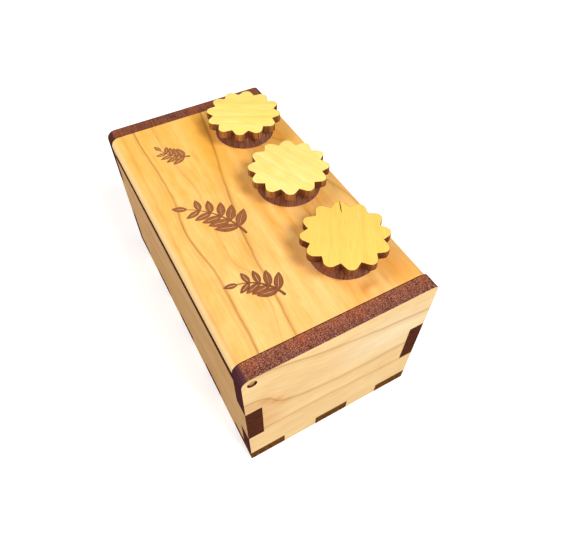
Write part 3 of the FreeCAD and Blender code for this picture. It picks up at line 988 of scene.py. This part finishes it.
def paper_floor():
    """White paper sweep: white to the camera, softer in the light that it throws back, and further out
    glowing white, so that the lamps' falling off doesn't show."""
    material, tree = new_tree("white_paper")
    place = grain_place(tree, X_AXIS, Y_AXIS)
    tooth = stretched_noise(tree, place, PAPER_NOISE, 1.0)
    seen = add_node(tree, "ShaderNodeLightPath", output="Is Camera Ray")
    distance = add_node(tree, VECTOR, {0: place}, "Value", operation="LENGTH")
    distant = {"Value": distance, "From Min": GLOW_LIMITS[0], "From Max": GLOW_LIMITS[1], "To Max": seen}
    distant = add_node(tree, RANGE, distant, interpolation_type="SMOOTHSTEP")
    colour = lay_tones(tree, to_linear(PAPER_LIT), ((seen, PAPER_SEEN), (distant, "#000000")))
    glow = add_node(tree, MATH, {0: distant, 1: 0.7, 2: 0.3}, operation="MULTIPLY_ADD")
    glow = add_node(tree, MATH, {0: seen, 1: glow}, operation="MULTIPLY")
    inputs = {"Base Color": colour, "Roughness": 0.9, "Emission Strength": glow}
    inputs["Emission Color"] = to_linear("#FFFFFF")
    lay_surface(tree, inputs, tooth, relief=0.02 * MM, strength=0.2)
    return material


def soft_room():
    """World that is white to the camera and dim to the box, so that the lamps shape it."""
    world = bpy.data.worlds.new("soft room")
    world.use_nodes = True
    tree = world.node_tree
    tree.nodes.clear()
    camera_ray = add_node(tree, "ShaderNodeLightPath", output="Is Camera Ray")
    strength = add_node(tree, RANGE, {"Value": camera_ray, "To Min": 0.2, "To Max": 1.0})
    tints = {0: camera_ray, 6: to_linear("#FFF2E2"), 7: to_linear("#FFFFFF")}
    colour = add_node(tree, MIX, tints, 2, data_type="RGBA")
    background = add_node(tree, "ShaderNodeBackground", {"Color": colour, "Strength": strength})
    add_node(tree, "ShaderNodeOutputWorld", {"Surface": background})
    return world


def place_camera(scene):
    """Camera that sees the box as the photograph does."""
    view = scene.keepsake_view
    camera = bpy.data.cameras.new("camera")
    camera.lens = view.focal_length
    camera.sensor_width = 36.0
    camera.clip_start = 0.01
    holder = bpy.data.objects.new("camera", camera)
    scene.collection.objects.link(holder)
    sight = Vector(view.camera_aim) - Vector(view.camera_place)
    turn = sight.to_track_quat("-Z", "Y").to_matrix() @ Matrix.Rotation(view.camera_roll, 3, "Z")
    holder.matrix_world = Matrix.Translation(view.camera_place) @ turn.to_4x4()
    scene.camera = holder


# Operators


class KEEPSAKE_OT_boards(bpy.types.Operator):
    """Ease and finish the five boards of the box and the catch rail"""

    bl_idname = "keepsake.boards"
    bl_label = "Box boards"

    def execute(self, context):
        wood = context.scene.keepsake_wood
        ends = (wood.box_light, wood.box_deep)
        # The side tones carry painted shade, on the side boards and on the bottom board
        sides = (wood.side_pale_with_shade, wood.side_tan_with_shade)
        figure = (ACROSS_BOX, END_LINES, ends, 3.0, END_PATCHES)
        end_wood = board_wood("oiled_alder_end", "near_end_board", *figure)
        shaded_side_wood = board_wood("oiled_alder_side_shaded", "lock_side_board", ALONG_SIDE, SIDE_LINES, sides, 9.0)
        shaded_base_wood = board_wood("oiled_alder_base_shaded", "bottom_board", ALONG_BASE, BASE_LINES, sides, 15.0)
        tones = (wood.char_top, wood.char_near)
        outer = (-69, -63.5, wood.char_outer)
        near_char = burnt_edge("burnt_near_end_board", Y_AXIS, *tones, 0.65, 1.0, outer)
        far_char = burnt_edge("burnt_far_end_board", Y_AXIS, wood.char_far, wood.char_end, 0.3, 2.0)
        side_char = burnt_edge("burnt_side_boards", X_AXIS, wood.char_side, wood.char_side, 0.05, 3.0)
        base_char = burnt_edge("burnt_base", Z_AXIS, wood.char_base, wood.char_base, 0.1, 4.0)
        eased_board("near_end_board", "box", Y_AXIS, X_AXIS, [end_wood, near_char])
        eased_board("far_end_board", "box", Y_AXIS, X_AXIS, [end_wood, far_char])
        for node in ("hinge_side_board", "lock_side_board"):
            eased_board(node, "box", X_AXIS, Y_AXIS, [shaded_side_wood, side_char])
        for node in ("bottom_board", "catch_rail"):
            eased_board(node, "box", Z_AXIS, Y_AXIS, [shaded_base_wood, base_char])
        return {"FINISHED"}


class KEEPSAKE_OT_lid(bpy.types.Operator):
    """Make the lid with its engraved leaf sprigs"""

    bl_idname = "keepsake.lid"
    bl_label = "Engraved lid"

    def execute(self, context):
        wood = context.scene.keepsake_wood
        char = burnt_edge("burnt_lid", Z_AXIS, wood.char_end, wood.char_end, speckle=0.1, seed=5.0)
        piece = lid_piece([lid_wood(), char])
        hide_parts("lid_board")
        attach(piece, "lid")
        return {"FINISHED"}


class KEEPSAKE_OT_dials(bpy.types.Operator):
    """Make the three scalloped dial plates and the discs under them"""

    bl_idname = "keepsake.dials"
    bl_label = "Dials"

    def execute(self, context):
        for number, name in enumerate(PETAL_TURNS):
            low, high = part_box(f"{name}_dial_disc")
            middle = (low + high) / 2
            centre = np.array(middle.to_2d())
            face = plate_wood(name, middle)
            make_plate(name, centre, face, seed=6.0 + number)
            make_disc(name, centre, face, seed=16.0 + number)
        return {"FINISHED"}


class KEEPSAKE_OT_lock(bpy.types.Operator):
    """Finish the lock's inner pieces: spindles, spacers, cams, washers, screws and pins"""

    bl_idname = "keepsake.lock"
    bl_label = "Lock and pins"

    def execute(self, context):
        wood = context.scene.keepsake_wood
        tones = (wood.box_light, wood.box_deep)
        dowel = board_wood("birch_dowel", "near_dial_spindle", ALONG_DOWEL, CAM_LINES[:1], tones, 31.0)
        cam_face = board_wood("oiled_alder_cam", "lid_board", ALONG_BASE, CAM_LINES, tones, 33.0)
        cam_char = burnt_edge("burnt_cams", Z_AXIS, wood.char_petal, wood.char_disc, 0.2, 9.0)
        brass = turned_brass()
        for name in PETAL_TURNS:
            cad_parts[f"{name}_dial_spindle"].data.materials[0] = dowel
            for part in ("dial_washer", "cam_screw"):
                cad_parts[f"{name}_{part}"].data.materials[0] = brass
            for part in ("cam_spacer", "lock_cam"):
                eased_board(f"{name}_{part}", f"{name}_dial", Z_AXIS, Y_AXIS, [cam_face, cam_char])
        for node in ("near_hinge_pin", "far_hinge_pin"):
            make_pin(node, brass)
        return {"FINISHED"}


class KEEPSAKE_OT_stage(bpy.types.Operator):
    """Set the camera, the white floor and the soft lamps"""

    bl_idname = "keepsake.stage"
    bl_label = "Stage"

    def execute(self, context):
        scene = context.scene
        place_camera(scene)
        half = PAPER_HALF
        corners = np.array([(-half, -half, 0), (half, -half, 0), (half, half, 0), (-half, half, 0)])
        floor = mesh_piece("floor", corners, [[0, 1, 2, 3]], [0], [paper_floor()])
        for lamp in LAMPS:
            area_lamp(*lamp)
        scene.world = soft_room()
        scene.view_settings.view_transform = "Standard"
        return {"FINISHED"}


class KEEPSAKE_PT_panel(bpy.types.Panel):
    """Sizes, colours and makers of the keepsake box"""

    bl_idname = "KEEPSAKE_PT_panel"
    bl_label = "Keepsake Box"
    bl_space_type = "VIEW_3D"
    bl_region_type = "UI"
    bl_category = "Keepsake Box"

    def draw(self, context):
        layout = self.layout
        for name, group in GROUPS.items():
            for setting in group.__annotations__:
                layout.prop(getattr(context.scene, name), setting)
        for operator in OPERATORS:
            layout.operator(operator.bl_idname)


GROUPS = {
    "keepsake_wood": KeepsakeBoxWood,
    "keepsake_sizes": KeepsakeBoxSizes,
    "keepsake_view": KeepsakeBoxView,
}
OPERATORS = (KEEPSAKE_OT_boards, KEEPSAKE_OT_lid, KEEPSAKE_OT_dials, KEEPSAKE_OT_lock, KEEPSAKE_OT_stage)
CLASSES = (*GROUPS.values(), *OPERATORS, KEEPSAKE_PT_panel)


def register():
    for cls in CLASSES:
        bpy.utils.register_class(cls)
    for name, group in GROUPS.items():
        setattr(bpy.types.Scene, name, bpy.props.PointerProperty(type=group))


def unregister():
    for name in GROUPS:
        delattr(bpy.types.Scene, name)
    for cls in reversed(CLASSES):
        bpy.utils.unregister_class(cls)


def main():
    """Builds the whole scene."""
    register()
    bpy.ops.keepsake.boards()
    bpy.ops.keepsake.lid()
    bpy.ops.keepsake.dials()
    bpy.ops.keepsake.lock()
    bpy.ops.keepsake.stage()


if __name__ == "__main__":
    main()
